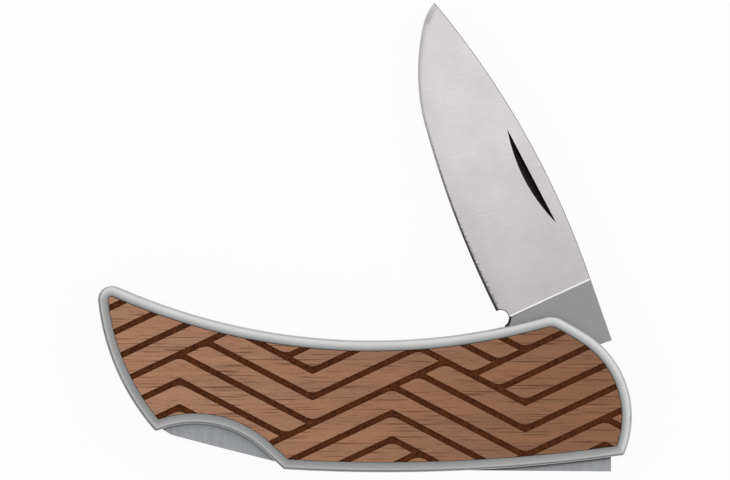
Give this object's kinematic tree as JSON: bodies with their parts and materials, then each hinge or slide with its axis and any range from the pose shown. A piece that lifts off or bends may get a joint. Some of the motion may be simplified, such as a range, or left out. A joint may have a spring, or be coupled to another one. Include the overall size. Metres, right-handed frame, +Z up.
{
  "type": "folding pocket knife",
  "caption": "Lock-back folding pocket knife: steel frames with engraved wood inlays, a drop-point blade on a riveted pivot and a sprung lock bar along the back.",
  "frame": {"origin": "the blade's pivot axis where it meets the flat that the knife lies on", "axes": "+X to the front of the handle, +Y away from the handle's back, +Z up through the knife's thickness"},
  "size_m": [0.0791, 0.0697, 0.0093],
  "materials": {
    "frame_steel": "satin stainless steel with a polished rounded rim",
    "blade_steel": "flat ground stainless steel with fine lines across the blade",
    "lock_steel": "hardened steel, milled edges",
    "spring_steel": "tempered spring steel",
    "pin_steel": "turned steel, riveted ends",
    "engraved_wood": "oiled hardwood with engraved, darkened grooves",
    "clear_adhesive": "cured film of adhesive",
    "bronze": "plain bearing bronze"
  },
  "bodies": {
    "handle": {"front_side_frame": "frame_steel", "rear_side_frame": "frame_steel", "butt_spacer": "frame_steel", "front_wood_inlay": "engraved_wood", "rear_wood_inlay": "engraved_wood", "front_inlay_adhesive": "clear_adhesive", "rear_inlay_adhesive": "clear_adhesive", "front_pivot_washer": "bronze", "rear_pivot_washer": "bronze", "pivot_pin": "pin_steel", "lock_bar_pin": "pin_steel", "upper_butt_pin": "pin_steel", "lower_butt_pin": "pin_steel", "lock_spring": "spring_steel"},
    "blade": {"blade": "blade_steel", "pivot_bush": "bronze"},
    "lock_bar": {"lock_bar": "lock_steel"}
  },
  "joints": [
    {"name": "blade_pivot", "type": "hinge", "parent": "handle", "child": "blade", "pos_m": [0, 0, 0], "axis": [0, 0, 1], "range_deg": [-104, 64]},
    {"name": "lock_bar_rock", "type": "hinge", "parent": "handle", "child": "lock_bar", "pos_m": [-0.0211, -0.0074, 0], "axis": [0, 0, -1], "range_deg": [0, 1.2], "stiffness_Nm_per_rad": 0.5, "deforming": ["lock_spring"]}
  ]
}
